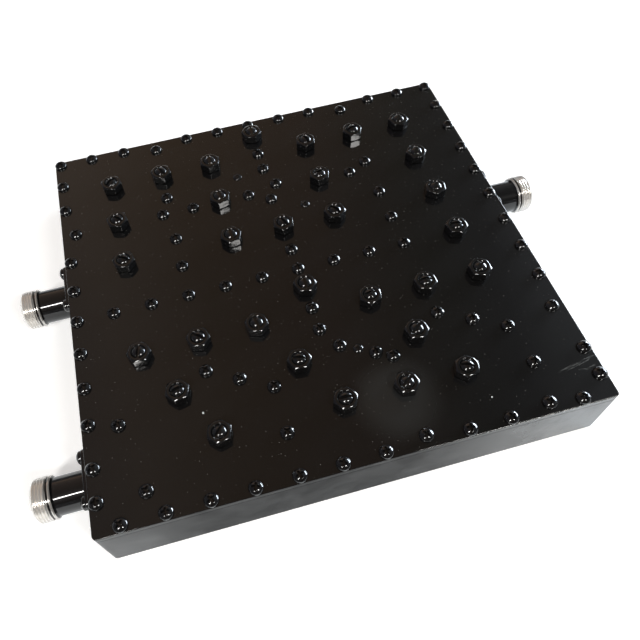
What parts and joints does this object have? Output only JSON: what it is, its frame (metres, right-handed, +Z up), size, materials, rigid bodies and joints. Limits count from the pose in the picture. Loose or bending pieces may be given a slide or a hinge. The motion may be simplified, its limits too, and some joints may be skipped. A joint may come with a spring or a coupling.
{
  "type": "cavity duplexer",
  "caption": "Flat milled cavity filter box with a screwed cover, slotted tuning screws in lock nuts and threaded coaxial connectors on two sides.",
  "frame": {"origin": "centre of the underside of the box, on the surface it stands on", "axes": "+X to the right side with the single connector, +Y from the front to the back, +Z up through the cover"},
  "size_m": [0.2232, 0.173, 0.031],
  "materials": {
    "black_paint": "gloss",
    "tuner_metal": "gloss",
    "connector_metal": "gloss",
    "silver_plate": "satin",
    "steel": "satin",
    "copper": "satin",
    "gold_plate": "polished",
    "insulator": "matte"
  },
  "bodies": {
    "root": {"housing": "black_paint", "cover": "black_paint", "rim_screws": "black_paint", "inner_screws": "black_paint", "probe_screws": "black_paint", "lock_nuts": "black_paint", "flange_screws": "black_paint", "resonator_posts": "silver_plate", "post_screws": "steel", "coupling_loop": "copper", "coupling_probe": "copper", "probe_block": "insulator", "front_left_shell": "connector_metal", "front_left_insulator": "insulator", "front_left_contact": "gold_plate", "front_left_tap": "copper", "rear_left_shell": "connector_metal", "rear_left_insulator": "insulator", "rear_left_contact": "gold_plate", "rear_left_tap": "copper", "right_shell": "connector_metal", "right_insulator": "insulator", "right_contact": "gold_plate", "right_tap": "copper"},
    "resonator_tuner_01": {"resonator_tuner_01": "tuner_metal"},
    "resonator_tuner_02": {"resonator_tuner_02": "tuner_metal"},
    "resonator_tuner_03": {"resonator_tuner_03": "tuner_metal"},
    "resonator_tuner_04": {"resonator_tuner_04": "tuner_metal"},
    "resonator_tuner_05": {"resonator_tuner_05": "tuner_metal"},
    "resonator_tuner_06": {"resonator_tuner_06": "tuner_metal"},
    "resonator_tuner_07": {"resonator_tuner_07": "tuner_metal"},
    "resonator_tuner_08": {"resonator_tuner_08": "tuner_metal"},
    "resonator_tuner_09": {"resonator_tuner_09": "tuner_metal"},
    "resonator_tuner_10": {"resonator_tuner_10": "tuner_metal"},
    "resonator_tuner_11": {"resonator_tuner_11": "tuner_metal"},
    "resonator_tuner_12": {"resonator_tuner_12": "tuner_metal"},
    "resonator_tuner_13": {"resonator_tuner_13": "tuner_metal"},
    "resonator_tuner_14": {"resonator_tuner_14": "tuner_metal"},
    "resonator_tuner_15": {"resonator_tuner_15": "tuner_metal"},
    "coupling_tuner_01": {"coupling_tuner_01": "tuner_metal"},
    "coupling_tuner_02": {"coupling_tuner_02": "tuner_metal"},
    "coupling_tuner_03": {"coupling_tuner_03": "tuner_metal"},
    "coupling_tuner_04": {"coupling_tuner_04": "tuner_metal"},
    "coupling_tuner_05": {"coupling_tuner_05": "tuner_metal"},
    "coupling_tuner_06": {"coupling_tuner_06": "tuner_metal"},
    "coupling_tuner_07": {"coupling_tuner_07": "tuner_metal"},
    "coupling_tuner_08": {"coupling_tuner_08": "tuner_metal"},
    "coupling_tuner_09": {"coupling_tuner_09": "tuner_metal"},
    "coupling_tuner_10": {"coupling_tuner_10": "tuner_metal"},
    "coupling_tuner_11": {"coupling_tuner_11": "tuner_metal"},
    "coupling_tuner_12": {"coupling_tuner_12": "tuner_metal"},
    "coupling_tuner_13": {"coupling_tuner_13": "tuner_metal"},
    "coupling_tuner_14": {"coupling_tuner_14": "tuner_metal"},
    "coupling_tuner_15": {"coupling_tuner_15": "tuner_metal"},
    "coupling_tuner_16": {"coupling_tuner_16": "tuner_metal"}
  },
  "joints": [
    {"name": "resonator_tuner_01_travel", "type": "slide", "parent": "root", "child": "resonator_tuner_01", "axis": [0, 0, 1], "range_m": [-0.0025, 0.005]},
    {"name": "resonator_tuner_02_travel", "type": "slide", "parent": "root", "child": "resonator_tuner_02", "axis": [0, 0, 1], "range_m": [-0.0025, 0.005]},
    {"name": "resonator_tuner_03_travel", "type": "slide", "parent": "root", "child": "resonator_tuner_03", "axis": [0, 0, 1], "range_m": [-0.0025, 0.005]},
    {"name": "resonator_tuner_04_travel", "type": "slide", "parent": "root", "child": "resonator_tuner_04", "axis": [0, 0, 1], "range_m": [-0.0025, 0.005]},
    {"name": "resonator_tuner_05_travel", "type": "slide", "parent": "root", "child": "resonator_tuner_05", "axis": [0, 0, 1], "range_m": [-0.0025, 0.005]},
    {"name": "resonator_tuner_06_travel", "type": "slide", "parent": "root", "child": "resonator_tuner_06", "axis": [0, 0, 1], "range_m": [-0.0025, 0.005]},
    {"name": "resonator_tuner_07_travel", "type": "slide", "parent": "root", "child": "resonator_tuner_07", "axis": [0, 0, 1], "range_m": [-0.0025, 0.005]},
    {"name": "resonator_tuner_08_travel", "type": "slide", "parent": "root", "child": "resonator_tuner_08", "axis": [0, 0, 1], "range_m": [-0.0025, 0.005]},
    {"name": "resonator_tuner_09_travel", "type": "slide", "parent": "root", "child": "resonator_tuner_09", "axis": [0, 0, 1], "range_m": [-0.0025, 0.005]},
    {"name": "resonator_tuner_10_travel", "type": "slide", "parent": "root", "child": "resonator_tuner_10", "axis": [0, 0, 1], "range_m": [-0.0025, 0.005]},
    {"name": "resonator_tuner_11_travel", "type": "slide", "parent": "root", "child": "resonator_tuner_11", "axis": [0, 0, 1], "range_m": [-0.0025, 0.005]},
    {"name": "resonator_tuner_12_travel", "type": "slide", "parent": "root", "child": "resonator_tuner_12", "axis": [0, 0, 1], "range_m": [-0.0025, 0.005]},
    {"name": "resonator_tuner_13_travel", "type": "slide", "parent": "root", "child": "resonator_tuner_13", "axis": [0, 0, 1], "range_m": [-0.0025, 0.005]},
    {"name": "resonator_tuner_14_travel", "type": "slide", "parent": "root", "child": "resonator_tuner_14", "axis": [0, 0, 1], "range_m": [-0.0025, 0.005]},
    {"name": "resonator_tuner_15_travel", "type": "slide", "parent": "root", "child": "resonator_tuner_15", "axis": [0, 0, 1], "range_m": [-0.0025, 0.005]},
    {"name": "coupling_tuner_01_travel", "type": "slide", "parent": "root", "child": "coupling_tuner_01", "axis": [0, 0, 1], "range_m": [-0.0025, 0.005]},
    {"name": "coupling_tuner_02_travel", "type": "slide", "parent": "root", "child": "coupling_tuner_02", "axis": [0, 0, 1], "range_m": [-0.0025, 0.005]},
    {"name": "coupling_tuner_03_travel", "type": "slide", "parent": "root", "child": "coupling_tuner_03", "axis": [0, 0, 1], "range_m": [-0.0025, 0.005]},
    {"name": "coupling_tuner_04_travel", "type": "slide", "parent": "root", "child": "coupling_tuner_04", "axis": [0, 0, 1], "range_m": [-0.0025, 0.005]},
    {"name": "coupling_tuner_05_travel", "type": "slide", "parent": "root", "child": "coupling_tuner_05", "axis": [0, 0, 1], "range_m": [-0.0025, 0.005]},
    {"name": "coupling_tuner_06_travel", "type": "slide", "parent": "root", "child": "coupling_tuner_06", "axis": [0, 0, 1], "range_m": [-0.0025, 0.005]},
    {"name": "coupling_tuner_07_travel", "type": "slide", "parent": "root", "child": "coupling_tuner_07", "axis": [0, 0, 1], "range_m": [-0.0025, 0.005]},
    {"name": "coupling_tuner_08_travel", "type": "slide", "parent": "root", "child": "coupling_tuner_08", "axis": [0, 0, 1], "range_m": [-0.0025, 0.005]},
    {"name": "coupling_tuner_09_travel", "type": "slide", "parent": "root", "child": "coupling_tuner_09", "axis": [0, 0, 1], "range_m": [-0.0025, 0.005]},
    {"name": "coupling_tuner_10_travel", "type": "slide", "parent": "root", "child": "coupling_tuner_10", "axis": [0, 0, 1], "range_m": [-0.0025, 0.005]},
    {"name": "coupling_tuner_11_travel", "type": "slide", "parent": "root", "child": "coupling_tuner_11", "axis": [0, 0, 1], "range_m": [-0.0025, 0.005]},
    {"name": "coupling_tuner_12_travel", "type": "slide", "parent": "root", "child": "coupling_tuner_12", "axis": [0, 0, 1], "range_m": [-0.0025, 0.005]},
    {"name": "coupling_tuner_13_travel", "type": "slide", "parent": "root", "child": "coupling_tuner_13", "axis": [0, 0, 1], "range_m": [-0.0025, 0.005]},
    {"name": "coupling_tuner_14_travel", "type": "slide", "parent": "root", "child": "coupling_tuner_14", "axis": [0, 0, 1], "range_m": [-0.0025, 0.005]},
    {"name": "coupling_tuner_15_travel", "type": "slide", "parent": "root", "child": "coupling_tuner_15", "axis": [0, 0, 1], "range_m": [-0.0025, 0.005]},
    {"name": "coupling_tuner_16_travel", "type": "slide", "parent": "root", "child": "coupling_tuner_16", "axis": [0, 0, 1], "range_m": [-0.0025, 0.005]}
  ]
}
